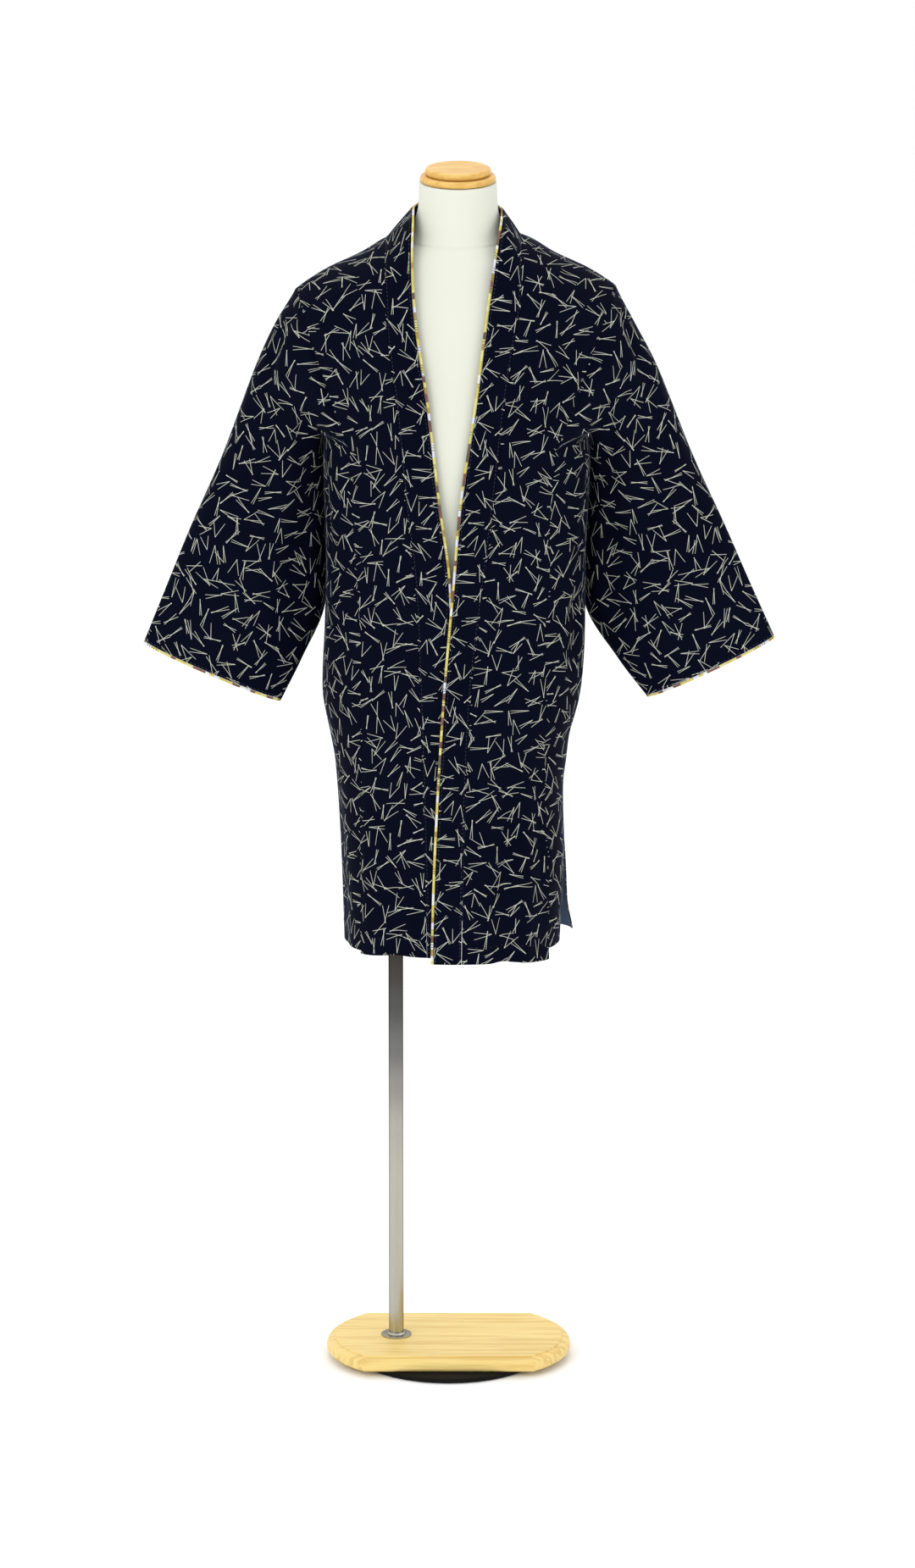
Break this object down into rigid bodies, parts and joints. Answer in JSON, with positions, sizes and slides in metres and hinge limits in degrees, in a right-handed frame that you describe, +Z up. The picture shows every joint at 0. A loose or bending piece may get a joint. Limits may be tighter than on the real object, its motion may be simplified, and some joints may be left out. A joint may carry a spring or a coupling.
{
  "type": "happi coat on a dress form stand",
  "caption": "Open-fronted hip-length happi coat with kimono sleeves and a banded collar, on a limbless dress form with a pole and a wooden base board.",
  "frame": {"origin": "on the floor, in the underside of the base disc, under the middle of the board", "axes": "+Z up; the front of the coat faces -Y; the wearer's left is +X"},
  "size_m": [0.8063, 0.2491, 1.579],
  "materials": {
    "printed_cloth": "navy plain-weave cotton with a small cream pine-needle print, matt",
    "edging_cloth": "narrow folded edging in mixed yellow, pale lilac, brown and black print, matt",
    "form_cover": "tight ivory knit cover, matt",
    "cap_wood": "turned wood, clear satin varnish",
    "board_wood": "pale pine with straight grain, clear satin varnish",
    "pole_steel": "polished plated steel",
    "black_plate": "black powder coat"
  },
  "bodies": {
    "root": {"body_right": "printed_cloth", "body_left": "printed_cloth", "side_panel_right": "printed_cloth", "side_panel_left": "printed_cloth", "sleeve_right": "printed_cloth", "sleeve_left": "printed_cloth", "collar_band": "printed_cloth", "collar_piping": "edging_cloth", "cuff_edging_right": "edging_cloth", "cuff_edging_left": "edging_cloth", "form_torso": "form_cover", "cap_rim": "cap_wood", "cap_disc": "cap_wood", "pole": "pole_steel", "pole_flange": "pole_steel", "pole_socket": "pole_steel", "base_board": "board_wood", "base_disc": "black_plate"}
  },
  "joints": []
}
